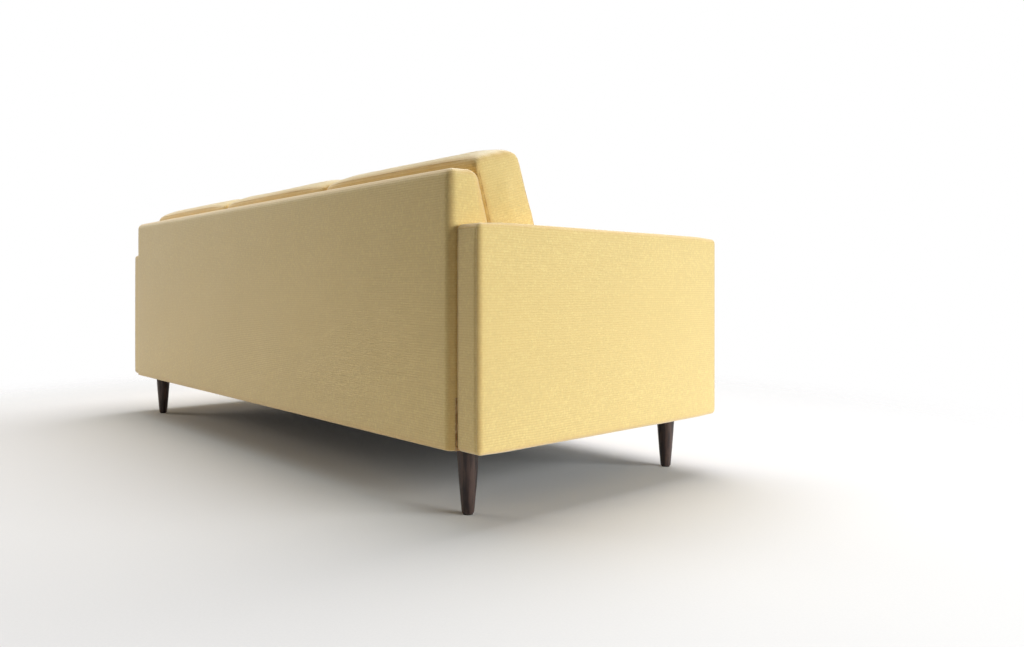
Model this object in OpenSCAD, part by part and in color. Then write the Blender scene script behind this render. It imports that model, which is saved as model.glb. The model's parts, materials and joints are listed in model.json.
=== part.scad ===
// Three-seat sofa with slab arms, a wedge-shaped back, loose cushions and four turned legs.
// +X is the sitter's left, the seat faces -Y and +Z is up.
// The origin is on the floor, at the centre of the sofa's footprint. All lengths are millimetres.

/* [Overall] */
// Width over the two arms
sofa_w = 2146; // [1900:2:2400]
// Depth from the front of the arms to the rear of the back
sofa_d = 844; // [820:2:880]
// Height of the underside above the floor
ride_h = 150; // [120:5:180]
// Height of the top of the arms
arm_top = 624; // [600:2:660]
// Height of the top of the back frame
back_top = 740; // [720:2:770]

/* [Arms] */
// Thickness of each arm
arm_t = 75; // [70:1:100]
// How far the arms stop short of the rear of the back
arm_setback = 14; // [6:1:24]
// Radius of the arm's corners, seen from the side
arm_r = 12; // [11:1:20]

/* [Back] */
// Thickness of the back frame along its top
back_t = 76; // [70:1:90]
// Lean of the inside back from upright, in degrees
lean = 16.5; // [14:0.5:18]
// Radius along the top rear edge of the back
back_rear_r = 20; // [14:1:24]
// Radius along the top front edge of the back
back_front_r = 28; // [18:1:30]

/* [Seat] */
// Height of the deck above the floor, at its front edge
deck_h = 310; // [300:1:320]
// Fall of the deck towards the back, in degrees
pitch = 3; // [2:0.5:4]
// Thickness of a seat cushion
seat_cushion_t = 145; // [120:5:160]
// How far the seat cushions stop short of the front of the arms
seat_cushion_setback = 6; // [2:1:20]
// Number of seats
seats = 3; // [3]

/* [Back cushions] */
// Thickness of a back cushion
back_cushion_t = 148; // [120:2:160]
// Height that a back cushion stands above the back frame, at its rear edge
back_cushion_rise = 27; // [10:1:50]
// Width of the gap between two back cushions
back_cushion_gap = 8; // [4:1:20]

/* [Legs] */
// Distance of each leg's axis from the centre plane
leg_x = 952; // [930:1:956]
// Distance of the front legs' axes from the front of the arms
leg_from_front = 62; // [50:1:70]
// Distance of the rear legs' axes from the rear of the back
leg_from_rear = 84; // [80:1:120]
// Diameter of a leg at its top
leg_top_d = 50; // [40:1:56]
// Diameter of a leg at its foot
leg_foot_d = 27; // [24:1:36]

/* [Springs] */
// Number of seat springs under each seat
springs_per_seat = 4; // [2:1:5]
// Number of loops in each spring, an odd number
spring_loops = 19; // [17:2:21]
// Radius of a spring's loops, at the middle of the wire
spring_r = 19; // [18.5:0.5:20]

/* [Hidden] */
$fn = 48;

// Faces of the sofa
y_front = -sofa_d / 2;
y_rear = sofa_d / 2;
y_arm_rear = y_rear - arm_setback;
x_arm_in = sofa_w / 2 - arm_t;
x_arm_out = sofa_w / 2;

// Thicknesses of the layers
cover_t = 2;
arm_pad_t = 8;
board_t = 4;
timber_t = 20;
front_pad_t = 10;
back_front_pad_t = 12;
back_top_pad_t = 10;
back_rear_pad_t = 8;
back_side_pad_t = 6;
webbing_t = 1.5;

// Clearances: a sliding fit, a small gap, and how far a cutter passes what it cuts
slip = 0.2;
gap = 1;
over = 1;

// How far the wadding and the foam cores are set in from the outside of their covers
pad_in = 3.5;
core_in = 12;

// Seat frame
frame_z = ride_h + 2;
frame_top = 262;
y_rail_front = y_front + cover_t + front_pad_t;
y_rail_rear = y_rear - cover_t - back_rear_pad_t - board_t;
stretcher_x = (x_arm_in - timber_t) / seats;
stretcher_top = 200;

// Front border
border_depth = 18;
border_return = 14;
border_full_depth = 60;
border_top = deck_h - 0.5;
border_r = 10;

// Deck: its plane falls towards the back from the deck origin
deck_y = y_front + 12;
deck_pad_t = 12;
deck_front_y = y_front + border_depth + gap;
spring_depth = 19;
wire_r = 1.8;
tie_wire_r = 1.2;
function deck_z(y) = deck_h - (y - deck_y) * tan(pitch);
function spring_z(y) = deck_z(y) - spring_depth / cos(pitch);

// Spring clips: a plate with a rolled loop that holds the end of a spring
clip_in_r = 2.8;
clip_out_r = 4;
clip_sink = 0.6;
clip_plate_t = 1.2;
clip_w = 18;
clip_lip = 2;
clip_drop = clip_out_r + clip_sink;
bar_front_y = y_front + 26;
bar_rear_y = 232;
spring_steps = 5;
spring_run = (bar_rear_y - bar_front_y) / cos(pitch);
spring_pitch = (spring_run - 2 * spring_r) / (spring_loops - 1);
spring_cx = sqrt(pow(spring_r, 2) - pow(spring_pitch / 2, 2));
spring_turn = 180 - atan2(spring_pitch, 2 * spring_cx);
spring_bar_w = 2 * (spring_cx + gap);
tie_wire_share = [0.34, 0.68];
tie_wire_end = 50;
spring_rail_y = [222, 242];

// Inside back: the slanted face that the back cushions lean on
function inside_back_y(z, inset = 0) =
  y_rear - back_t - (back_top - z) * tan(lean) + inset / cos(lean);
back_half_w = x_arm_in - gap;
back_plan_r = 20;
sharp_r = 1;
cover_return = 34;
back_post_x = back_half_w - cover_t - back_side_pad_t;
back_rail_h = 40;
back_rail_d = 48;
back_foot_d = 60;
skirt_lap = 30;
strap_w = 50;
strap_heights = [-150, -50, 50, 150];

// Arm frame
arm_post_w = 60;
arm_rail_top_h = 60;
arm_rail_bottom_h = 80;
x_arm_board = x_arm_in + cover_t + arm_pad_t;
x_arm_timber = x_arm_board + board_t;
x_arm_timber_out = x_arm_out - cover_t - arm_pad_t - board_t;
arm_inset = cover_t + arm_pad_t;

// Bolts that hold each arm to the seat frame
arm_bolt_y = [-280, 0, 268];
arm_bolt_z = 206;
arm_bolt_r = 4;
arm_bolt_head_r = 9;
arm_bolt_head_h = 4;
arm_bolt_grip = 35;
arm_bolt_end = x_arm_timber + arm_bolt_grip;

// Leg fixings
leg_front_y = y_front + leg_from_front;
leg_rear_y = y_rear - leg_from_rear;
glide_h = 2.5;
glide_r = 11;
foot_chamfer = 1.5;
leg_bolt_r = 4;
leg_bolt_play = 0.05;
leg_bolt_in = 45;
leg_bolt_top = ride_h + 48;
leg_bolt_tip = 6;
leg_bolt_chamfer = 1;
block_h = 40;
block_half = 36;
block_inner_x = 898;
t_nut_barrel_r = 5;
t_nut_barrel_h = 12;
t_nut_flange_r = 11;
t_nut_flange_t = 1.6;

// Dust cover
dust_cover_t = 1.5;
dust_cover_edge = 4;
dust_cover_hole_r = 6;

// Cushions
seat_pitch_x = 2 * x_arm_in / seats;
seat_cushion_gap = 3;
seat_cushion_w = seat_pitch_x - seat_cushion_gap;
back_cushion_w = seat_pitch_x - back_cushion_gap;
seat_cushion_lift = 0.8;
cushion_clear = 1;
cushion_r = 20;
back_cushion_front_r = 34;
seat_cushion_drop = 30;
seat_cushion_rear_gap = 4;
seat_cushion_y0 = y_front + seat_cushion_setback - deck_y;
seat_cushion_y1 = inside_back_y(deck_h - seat_cushion_drop) - seat_cushion_rear_gap - deck_y;

// Where the top of the seat cushions meets the inside back
seat_top_z0 = deck_h + (seat_cushion_lift + seat_cushion_t) / cos(pitch) + deck_y * tan(pitch);
back_line_z0 = back_top - (y_rear - back_t) / tan(lean);
meet_y = (seat_top_z0 - back_line_z0) / (1 / tan(lean) + tan(pitch));
meet_z = seat_top_z0 - meet_y * tan(pitch);
back_cushion_h = (back_top + back_cushion_rise - meet_z) / cos(lean);

fabric_color = [0.87, 0.72, 0.38];
foam_color = [0.95, 0.93, 0.84];
padding_color = [0.93, 0.93, 0.9];
frame_wood = [0.8, 0.66, 0.46];
leg_wood = [0.17, 0.11, 0.09];
steel = [0.62, 0.63, 0.65];
board_color = [0.72, 0.6, 0.42];
dark_cloth = [0.1, 0.1, 0.1];
deck_color = [0.85, 0.76, 0.52];
felt_color = [0.2, 0.18, 0.17];

// ---------- shared shapes ----------

// Box between two opposite corners
module block(p0, p1) {
  translate(p0)
    cube(p1 - p0);
}

// Extrudes a side view, drawn as (y, z), along X
module along_x(x0, x1) {
  translate([x0, 0, 0])
    rotate([90, 0, 90])
      linear_extrude(x1 - x0)
        children();
}

// Puts a shape made for the left side (+X) on either side
module on_side(side) {
  if (side > 0) children();
  else mirror([1, 0, 0]) children();
}

// Puts a shape on the deck plane: local Y runs back along it, local Z stands up from it
module on_deck() {
  translate([0, deck_y, deck_h])
    rotate([-pitch, 0, 0])
      children();
}

// Puts a shape on the inside back: local Z runs up it from the seat, local Y goes into it
module on_inside_back() {
  translate([0, meet_y, meet_z])
    rotate([-lean, 0, 0])
      children();
}

function unit(v) = v / norm(v);
function half_angle(a, b, c) = acos(unit(a - b) * unit(c - b)) / 2;

// Convex outline with an arc of radius radii[i] at each corner
module round_outline(corners, radii) {
  n = len(corners);
  before = [for (i = [0 : n - 1]) corners[(i + n - 1) % n]];
  after = [for (i = [0 : n - 1]) corners[(i + 1) % n]];
  half = [for (i = [0 : n - 1]) half_angle(before[i], corners[i], after[i])];
  polygon([
    for (i = [0 : n - 1])
      let (reach = radii[i] / tan(half[i]))
        each [
          corners[i] + unit(before[i] - corners[i]) * reach,
          corners[i] + unit(after[i] - corners[i]) * reach
        ]
  ]);
  for (i = [0 : n - 1])
    let (inward = unit(unit(before[i] - corners[i]) + unit(after[i] - corners[i])))
      translate(corners[i] + inward * radii[i] / sin(half[i]))
        circle(radii[i]);
}

module round_box_outline(p0, p1, r) {
  round_outline([p0, [p1.x, p0.y], p1, [p0.x, p1.y]], [r, r, r, r]);
}

// ---------- legs ----------

module leg(side, y) {
  color(leg_wood)
    translate([side * leg_x, y, 0])
      rotate_extrude()
        polygon([
          [0, glide_h],
          [leg_foot_d / 2 - foot_chamfer, glide_h],
          [leg_foot_d / 2, glide_h + foot_chamfer],
          [leg_top_d / 2, ride_h],
          [leg_bolt_r, ride_h],
          [leg_bolt_r, ride_h - leg_bolt_in],
          [0, ride_h - leg_bolt_in]
        ]);
}

// Repeats a shape at the four legs
module at_legs() {
  for (x = [-leg_x, leg_x], y = [leg_front_y, leg_rear_y])
    translate([x, y, 0])
      children();
}

module foot_glides() {
  color(felt_color)
    at_legs()
      cylinder(r = glide_r, h = glide_h);
}

module hanger_bolts() {
  shank_r = leg_bolt_r - leg_bolt_play;
  color(steel)
    at_legs()
      rotate_extrude()
        polygon([
          [0, ride_h - leg_bolt_in + gap],
          [shank_r, ride_h - leg_bolt_in + leg_bolt_tip],
          [shank_r, leg_bolt_top - leg_bolt_chamfer],
          [shank_r - leg_bolt_chamfer, leg_bolt_top],
          [0, leg_bolt_top]
        ]);
}

module t_nuts() {
  block_top = frame_z + block_h;
  color(steel)
    at_legs()
      rotate_extrude()
        polygon([
          [leg_bolt_r, block_top - t_nut_barrel_h],
          [t_nut_barrel_r, block_top - t_nut_barrel_h],
          [t_nut_barrel_r, block_top],
          [t_nut_flange_r, block_top],
          [t_nut_flange_r, block_top + t_nut_flange_t],
          [leg_bolt_r, block_top + t_nut_flange_t]
        ]);
}

// Hardwood blocks in the corners of the seat frame, which the legs screw up into
module leg_blocks() {
  rail_in = y_rail_front + timber_t;
  color(frame_wood)
    for (side = [-1, 1])
      on_side(side)
        for (span = [[rail_in, rail_in + 2 * block_half], [leg_rear_y - block_half, leg_rear_y + block_half]])
          difference() {
            block([block_inner_x, span[0], frame_z], [x_arm_in - timber_t, span[1], frame_z + block_h]);
            for (y = [leg_front_y, leg_rear_y])
              translate([leg_x, y, frame_z - over])
                cylinder(r = t_nut_barrel_r + leg_bolt_play, h = block_h + 2 * over);
          }
}

// ---------- seat frame ----------

// Bolt-sized cylinders along X, through one side of the sofa
module arm_bolt_lines(r, x0, x1) {
  for (y = arm_bolt_y)
    translate([x0, y, arm_bolt_z])
      rotate([0, 90, 0])
        cylinder(r = r, h = x1 - x0);
}

module seat_rail_front() {
  rail_top = spring_z(bar_front_y) - clip_drop;
  color(frame_wood)
    block([-x_arm_in, y_rail_front, frame_z], [x_arm_in, y_rail_front + timber_t, rail_top]);
}

module seat_rail_rear() {
  color(frame_wood)
    block([-x_arm_in, y_rail_rear - timber_t, frame_z], [x_arm_in, y_rail_rear, frame_top]);
}

module seat_rail_side(side) {
  color(frame_wood)
    on_side(side)
      difference() {
        block(
          [x_arm_in - timber_t, y_rail_front + timber_t, frame_z],
          [x_arm_in, y_rail_rear - timber_t, frame_top]
        );
        arm_bolt_lines(arm_bolt_r + slip, x_arm_in - timber_t - over, x_arm_in + over);
      }
}

module seat_stretchers() {
  color(frame_wood)
    for (x = [-stretcher_x, stretcher_x])
      block(
        [x - timber_t / 2, y_rail_front + timber_t, frame_z],
        [x + timber_t / 2, y_rail_rear - timber_t, stretcher_top]
      );
}

// Rail across the frame that holds the rear ends of the springs
module spring_rail() {
  rail_x = x_arm_in - timber_t;
  color(frame_wood)
    block(
      [-rail_x, spring_rail_y[0], stretcher_top],
      [rail_x, spring_rail_y[1], spring_z(bar_rear_y) - clip_drop]
    );
}

// ---------- springs and deck ----------

spring_count = seats * springs_per_seat;
spring_gap = 2 * (x_arm_in - timber_t) / spring_count;
spring_xs = [for (i = [0 : spring_count - 1]) (i + 0.5 - spring_count / 2) * spring_gap];

// One edge of a spring's wire, side to the right of the line that the wire follows.
// It starts at the front bar, winds from loop to loop and ends at the rear bar.
function spring_edge(side) = [
  [spring_cx - spring_bar_w, -side],
  for (k = [0 : spring_loops - 1])
    let (
      hand = k % 2 == 0 ? 1 : -1,
      start = k == 0 ? -90 : -spring_turn,
      end = k == spring_loops - 1 ? 90 : spring_turn,
      reach = spring_r + hand * side
    )
      for (step = [0 : spring_steps])
        let (angle = start + (end - start) * step / spring_steps)
          if (step > 0 || k == 0)
            [hand * (spring_cx + reach * cos(angle)), spring_r + k * spring_pitch + reach * sin(angle)],
  [spring_cx - spring_bar_w, spring_run + side]
];

function reversed(list) = [for (i = [len(list) - 1 : -1 : 0]) list[i]];

module seat_springs() {
  color(steel)
    for (x = spring_xs)
      translate([x, bar_front_y, spring_z(bar_front_y)])
        rotate([-pitch, 0, 0])
          translate([0, 0, -wire_r])
            linear_extrude(2 * wire_r)
              polygon(concat(spring_edge(wire_r), reversed(spring_edge(-wire_r))));
}

module spring_clips() {
  color(steel)
    for (x = spring_xs, y = [bar_front_y, bar_rear_y])
      translate([x - clip_w / 2, y, spring_z(y)])
        difference() {
          union() {
            rotate([0, 90, 0])
              cylinder(r = clip_out_r, h = clip_w);
            block(
              [0, -clip_out_r - clip_lip, -clip_drop],
              [clip_w, clip_out_r + clip_lip, clip_plate_t - clip_drop]
            );
          }
          translate([-over, 0, 0])
            rotate([0, 90, 0])
              cylinder(r = clip_in_r, h = clip_w + 2 * over);
        }
}

// Wires that tie the springs together from side to side
module spring_tie_wires() {
  color(steel)
    for (share = tie_wire_share)
      let (y = bar_front_y + share * (bar_rear_y - bar_front_y))
        translate([spring_xs[0] - tie_wire_end, y, spring_z(y) - wire_r - tie_wire_r - slip])
          rotate([0, 90, 0])
            cylinder(r = tie_wire_r, h = 2 * (tie_wire_end - spring_xs[0]));
}

// A layer of the deck, between two depths below its top
module deck_layer(depth0, depth1) {
  on_deck()
    block(
      [-back_half_w, deck_front_y - deck_y, -depth1],
      [back_half_w, inside_back_y(frame_top) - 2 * gap - deck_y, -depth0]
    );
}

module deck_pad() {
  color(padding_color)
    deck_layer(cover_t + slip, cover_t + deck_pad_t);
}

module deck_cloth() {
  color(deck_color)
    deck_layer(0, cover_t);
}

// ---------- front border ----------

// Side view of the border's outside, moved in by inset and left open at its rear
module border_outline(inset) {
  intersection() {
    round_box_outline(
      [y_front + inset, ride_h + inset],
      [y_front + border_full_depth, border_top - inset],
      border_r - inset
    );
    translate([y_front, ride_h])
      square([border_depth, border_top - ride_h]);
  }
}

module front_cover() {
  color(fabric_color)
    along_x(-back_half_w, back_half_w) {
      difference() {
        border_outline(0);
        border_outline(cover_t);
      }
      translate([y_front + border_depth - over, ride_h])
        square([border_return, cover_t]);
    }
}

module front_padding() {
  color(padding_color)
    along_x(pad_in - back_half_w, back_half_w - pad_in)
      difference() {
        border_outline(pad_in);
        translate([y_rail_front, ride_h])
          square([border_depth, spring_z(bar_front_y) - clip_drop - ride_h]);
      }
}

// ---------- arms ----------

arm_low = [y_front + arm_inset, frame_z + gap];
arm_high = [y_arm_rear - arm_inset, arm_top - arm_inset];

// A timber of the arm frame, given its side view's two corners
module arm_timber(side, p0, p1) {
  color(frame_wood)
    on_side(side)
      block([x_arm_timber, p0.x, p0.y], [x_arm_timber_out, p1.x, p1.y]);
}

module arm_post_front(side) {
  arm_timber(side, arm_low, [arm_low.x + arm_post_w, arm_high.y]);
}

module arm_post_rear(side) {
  arm_timber(side, [arm_high.x - arm_post_w, arm_low.y], arm_high);
}

module arm_rail_top(side) {
  arm_timber(
    side,
    [arm_low.x + arm_post_w, arm_high.y - arm_rail_top_h],
    [arm_high.x - arm_post_w, arm_high.y]
  );
}

module arm_rail_bottom(side) {
  difference() {
    arm_timber(
      side,
      [arm_low.x + arm_post_w, arm_low.y],
      [arm_high.x - arm_post_w, arm_low.y + arm_rail_bottom_h]
    );
    on_side(side)
      arm_bolt_lines(arm_bolt_r + leg_bolt_play, x_arm_timber - over, arm_bolt_end + over);
  }
}

module arm_board_inner(side) {
  color(board_color)
    on_side(side)
      difference() {
        block([x_arm_board, arm_low.x, arm_low.y], [x_arm_timber, arm_high.x, arm_high.y]);
        arm_bolt_lines(arm_bolt_r + slip, x_arm_board - over, x_arm_timber + over);
      }
}

module arm_board_outer(side) {
  color(board_color)
    on_side(side)
      block(
        [x_arm_timber_out, arm_low.x, arm_low.y],
        [x_arm_timber_out + board_t, arm_high.x, arm_high.y]
      );
}

// Wadding round the arm frame, open underneath
module arm_padding(side) {
  color(padding_color)
    on_side(side)
      difference() {
        along_x(x_arm_in + pad_in, x_arm_out - pad_in)
          round_box_outline(
            [y_front + pad_in, ride_h + pad_in],
            [y_arm_rear - pad_in, arm_top - pad_in],
            arm_r - pad_in
          );
        block(
          [x_arm_board - slip, arm_low.x - slip, ride_h],
          [x_arm_timber_out + board_t + slip, arm_high.x + slip, arm_high.y + slip]
        );
        arm_bolt_lines(arm_bolt_r + slip, x_arm_in, x_arm_board + over);
      }
}

module arm_cover(side) {
  color(fabric_color)
    on_side(side)
      difference() {
        along_x(x_arm_in, x_arm_out)
          round_box_outline([y_front, ride_h], [y_arm_rear, arm_top], arm_r);
        along_x(x_arm_in + cover_t, x_arm_out - cover_t)
          round_box_outline(
            [y_front + cover_t, ride_h + cover_t],
            [y_arm_rear - cover_t, arm_top - cover_t],
            arm_r - cover_t
          );
        arm_bolt_lines(arm_bolt_r + slip, x_arm_in - over, x_arm_in + cover_t + over);
      }
}

module arm_bolts() {
  head_x = x_arm_in - timber_t - arm_bolt_head_h;
  color(steel)
    for (side = [-1, 1])
      on_side(side) {
        arm_bolt_lines(arm_bolt_r, head_x + over, arm_bolt_end);
        arm_bolt_lines(arm_bolt_head_r, head_x, head_x + arm_bolt_head_h);
      }
}

// ---------- back ----------

// Side view of the back wedge, with each face moved in by its own amount
function back_corners(rear_in, front_in, top_in, z0) = [
  [y_rear - rear_in, z0],
  [y_rear - rear_in, back_top - top_in],
  [inside_back_y(back_top - top_in, front_in), back_top - top_in],
  [inside_back_y(z0, front_in), z0]
];

back_timber_in = cover_t + back_front_pad_t + webbing_t;
back_timber_top = back_top - cover_t - back_top_pad_t;

module back_wedge(rear_in, front_in, top_in, z0) {
  round_outline(
    back_corners(rear_in, front_in, top_in, z0),
    [sharp_r, back_rear_r - top_in, back_front_r - top_in, sharp_r]
  );
}

module back_post(side) {
  color(frame_wood)
    on_side(side)
      along_x(back_post_x - timber_t, back_post_x)
        polygon(back_corners(y_rear - y_rail_rear, back_timber_in, back_top - back_timber_top, frame_top));
}

module back_posts_middle() {
  post_top = back_timber_top - back_rail_h;
  post_foot = frame_top + back_rail_h;
  color(frame_wood)
    for (x = [-stretcher_x, stretcher_x])
      along_x(x - timber_t / 2, x + timber_t / 2)
        polygon(back_corners(y_rear - y_rail_rear, back_timber_in, back_top - post_top, post_foot));
}

module back_rail_top() {
  rail_x = back_post_x - timber_t;
  color(frame_wood)
    block(
      [-rail_x, y_rail_rear - back_rail_d, back_timber_top - back_rail_h],
      [rail_x, y_rail_rear, back_timber_top]
    );
}

module back_rail_bottom() {
  rail_x = back_post_x - timber_t;
  color(frame_wood)
    block([-rail_x, y_rail_rear - back_foot_d, frame_top], [rail_x, y_rail_rear, frame_top + back_rail_h]);
}

// Straps stretched across the front of the back posts
module back_webbing() {
  strap_in = cover_t + back_front_pad_t + slip;
  color(dark_cloth)
    on_inside_back()
      for (h = strap_heights)
        translate([0, 0, h])
          block([-back_post_x, strap_in, 0], [back_post_x, strap_in + webbing_t - 2 * slip, strap_w]);
}

module back_board() {
  color(board_color)
    block([-back_post_x, y_rail_rear, frame_z], [back_post_x, y_rail_rear + board_t, back_timber_top]);
}

// Rounds the upright rear edges of the back, moved in by inset
module back_plan(inset) {
  linear_extrude(back_top + over)
    round_box_outline(
      [inset - back_half_w, 0],
      [back_half_w - inset, y_rear - inset],
      back_plan_r - inset
    );
}

// Wadding over the front, top, ends and rear of the back frame, open underneath
module back_padding() {
  color(padding_color)
    difference() {
      intersection() {
        union() {
          along_x(pad_in - back_half_w, back_half_w - pad_in)
            back_wedge(pad_in, pad_in, pad_in, frame_top);
          block(
            [-back_post_x, y_rail_rear + board_t + slip, frame_z + slip],
            [back_post_x, y_rear - pad_in, frame_top + skirt_lap]
          );
        }
        back_plan(pad_in);
      }
      along_x(-back_post_x - slip, back_post_x + slip)
        polygon(
          back_corners(
            cover_t + back_rear_pad_t - slip,
            cover_t + back_front_pad_t,
            cover_t + back_top_pad_t - slip,
            frame_z
          )
        );
    }
}

// Cover of the back: inside back, top, ends and the rear panel down to the underside,
// where it turns in under the rear rail
module back_cover() {
  skirt_y = y_rail_rear + slip;
  color(fabric_color)
    difference() {
      intersection() {
        union() {
          along_x(-back_half_w, back_half_w)
            back_wedge(0, 0, 0, frame_top);
          block([-back_half_w, skirt_y, ride_h], [back_half_w, y_rear, frame_top + skirt_lap]);
          block(
            [-back_half_w, y_rear - cover_return, ride_h],
            [back_half_w, y_rear, ride_h + cover_t - slip]
          );
        }
        back_plan(0);
      }
      intersection() {
        along_x(cover_t - back_half_w, back_half_w - cover_t) {
          round_outline(
            back_corners(cover_t, cover_t, cover_t, frame_top - over),
            [sharp_r, back_rear_r - cover_t, back_front_r - cover_t, sharp_r]
          );
          translate([skirt_y - over, ride_h + cover_t])
            square([y_rear - cover_t - skirt_y + over, frame_top + skirt_lap - ride_h - cover_t]);
        }
        back_plan(cover_t);
      }
    }
}

module dust_cover() {
  color(dark_cloth)
    difference() {
      block(
        [dust_cover_edge - x_arm_in, y_rail_front + timber_t, ride_h],
        [x_arm_in - dust_cover_edge, y_rail_rear - timber_t - gap, ride_h + dust_cover_t]
      );
      at_legs()
        translate([0, 0, ride_h - over])
          cylinder(r = dust_cover_hole_r, h = dust_cover_t + 2 * over);
    }
}

// ---------- cushions ----------

// Side view of a seat cushion in the deck's axes, moved in by inset
module seat_cushion_outline(inset) {
  round_box_outline(
    [seat_cushion_y0 + inset, seat_cushion_lift + inset],
    [seat_cushion_y1 - inset, seat_cushion_lift + seat_cushion_t - inset],
    cushion_r - inset
  );
}

// Side view of a back cushion in the inside back's axes, moved in by inset.
// Its lower face lies along the top of the seat cushion.
module back_cushion_outline(inset) {
  foot_angle = lean - pitch;
  y_back = -cushion_clear - inset;
  y_face = -cushion_clear - back_cushion_t + inset;
  foot_z = cushion_clear + inset / cos(foot_angle);
  round_outline(
    [
      [y_face, foot_z + y_face * tan(foot_angle)],
      [y_back, foot_z + y_back * tan(foot_angle)],
      [y_back, back_cushion_h - inset],
      [y_face, back_cushion_h - inset]
    ],
    [cushion_r - inset, cushion_r - inset, cushion_r - inset, back_cushion_front_r - inset]
  );
}

module seat_core(place) {
  half_w = seat_cushion_w / 2 - core_in;
  color(foam_color)
    translate([place * seat_pitch_x, 0, 0])
      on_deck()
        along_x(-half_w, half_w)
          seat_cushion_outline(core_in);
}

module seat_cover(place) {
  half_w = seat_cushion_w / 2;
  color(fabric_color)
    translate([place * seat_pitch_x, 0, 0])
      on_deck()
        difference() {
          along_x(-half_w, half_w)
            seat_cushion_outline(0);
          along_x(cover_t - half_w, half_w - cover_t)
            seat_cushion_outline(cover_t);
        }
}

module back_core(place) {
  half_w = back_cushion_w / 2 - core_in;
  color(foam_color)
    translate([place * seat_pitch_x, 0, 0])
      on_inside_back()
        along_x(-half_w, half_w)
          back_cushion_outline(core_in);
}

module back_cushion_cover(place) {
  half_w = back_cushion_w / 2;
  color(fabric_color)
    translate([place * seat_pitch_x, 0, 0])
      on_inside_back()
        difference() {
          along_x(-half_w, half_w)
            back_cushion_outline(0);
          along_x(cover_t - half_w, half_w - cover_t)
            back_cushion_outline(cover_t);
        }
}

// ---------- the sofa ----------

leg(1, leg_front_y);  // leg_front_left
leg(-1, leg_front_y);  // leg_front_right
leg(1, leg_rear_y);  // leg_rear_left
leg(-1, leg_rear_y);  // leg_rear_right
foot_glides();
hanger_bolts();
t_nuts();
leg_blocks();
seat_rail_front();
seat_rail_rear();
seat_rail_side(1);  // seat_rail_left
seat_rail_side(-1);  // seat_rail_right
seat_stretchers();
spring_rail();
seat_springs();
spring_clips();
spring_tie_wires();
deck_pad();
deck_cloth();
front_padding();
front_cover();
arm_post_front(1);  // arm_post_front_left
arm_post_rear(1);  // arm_post_rear_left
arm_rail_top(1);  // arm_rail_top_left
arm_rail_bottom(1);  // arm_rail_bottom_left
arm_board_inner(1);  // arm_board_inner_left
arm_board_outer(1);  // arm_board_outer_left
arm_padding(1);  // arm_padding_left
arm_cover(1);  // arm_cover_left
arm_post_front(-1);  // arm_post_front_right
arm_post_rear(-1);  // arm_post_rear_right
arm_rail_top(-1);  // arm_rail_top_right
arm_rail_bottom(-1);  // arm_rail_bottom_right
arm_board_inner(-1);  // arm_board_inner_right
arm_board_outer(-1);  // arm_board_outer_right
arm_padding(-1);  // arm_padding_right
arm_cover(-1);  // arm_cover_right
arm_bolts();
back_post(1);  // back_post_left
back_post(-1);  // back_post_right
back_posts_middle();
back_rail_top();
back_rail_bottom();
back_webbing();
back_board();
back_padding();
back_cover();
dust_cover();
seat_core(1);  // seat_core_left
seat_core(0);  // seat_core_centre
seat_core(-1);  // seat_core_right
seat_cover(1);  // seat_cover_left
seat_cover(0);  // seat_cover_centre
seat_cover(-1);  // seat_cover_right
back_core(1);  // back_core_left
back_core(0);  // back_core_centre
back_core(-1);  // back_core_right
back_cushion_cover(1);  // back_cushion_cover_left
back_cushion_cover(0);  // back_cushion_cover_centre
back_cushion_cover(-1);  // back_cushion_cover_right
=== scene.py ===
"""Visual model of the three-seat sofa: covers, cushions, legs and cloths round the CAD frame."""

import json
import math

import bmesh
import bpy
import numpy as np
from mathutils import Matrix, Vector, noise
from mathutils.bvhtree import BVHTree


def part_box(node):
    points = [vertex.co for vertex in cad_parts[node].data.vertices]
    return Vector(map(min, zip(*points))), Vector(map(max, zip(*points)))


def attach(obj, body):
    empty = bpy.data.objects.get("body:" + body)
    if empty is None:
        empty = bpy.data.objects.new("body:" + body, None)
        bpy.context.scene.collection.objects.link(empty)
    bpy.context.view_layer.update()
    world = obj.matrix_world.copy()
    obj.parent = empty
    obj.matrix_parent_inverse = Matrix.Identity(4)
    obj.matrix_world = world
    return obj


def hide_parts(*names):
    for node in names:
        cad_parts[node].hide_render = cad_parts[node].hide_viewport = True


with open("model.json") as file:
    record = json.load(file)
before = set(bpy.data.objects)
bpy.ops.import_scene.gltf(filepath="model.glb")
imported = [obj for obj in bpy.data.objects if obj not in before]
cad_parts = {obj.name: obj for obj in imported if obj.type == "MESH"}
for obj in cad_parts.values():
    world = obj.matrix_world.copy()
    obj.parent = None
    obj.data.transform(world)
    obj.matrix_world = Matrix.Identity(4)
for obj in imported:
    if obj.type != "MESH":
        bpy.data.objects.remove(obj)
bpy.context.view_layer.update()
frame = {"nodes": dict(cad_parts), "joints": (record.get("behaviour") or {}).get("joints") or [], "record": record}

MM = 0.001
SIDES = ("left", "right")
PLACES = ("left", "centre", "right")
SLOTS = {part["node"]: part["material_slot"] for part in frame["record"]["subparts"]}
AXES = {j["name"]: Vector(j["axis"]).normalized() for j in frame["joints"]}
DECK_BACK = -AXES["seat_cushion_centre_slide"]
BACK_UP = AXES["back_cushion_centre_lift"]
ACROSS = Vector((1, 0, 0))
DECK_UP = ACROSS.cross(DECK_BACK)
BACK_IN = BACK_UP.cross(ACROSS)


# ---------- sizes of the weave and the covers ----------

RIB = 5.4 * MM
PICK = 4.0 * MM
CLOTH = 1.6 * MM
SLIP = 0.4 * MM
SEAM_IN = 10 * MM
SEAM_DEEP = 1.3 * MM
SEAM_WIDE = 1.6 * MM
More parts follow.
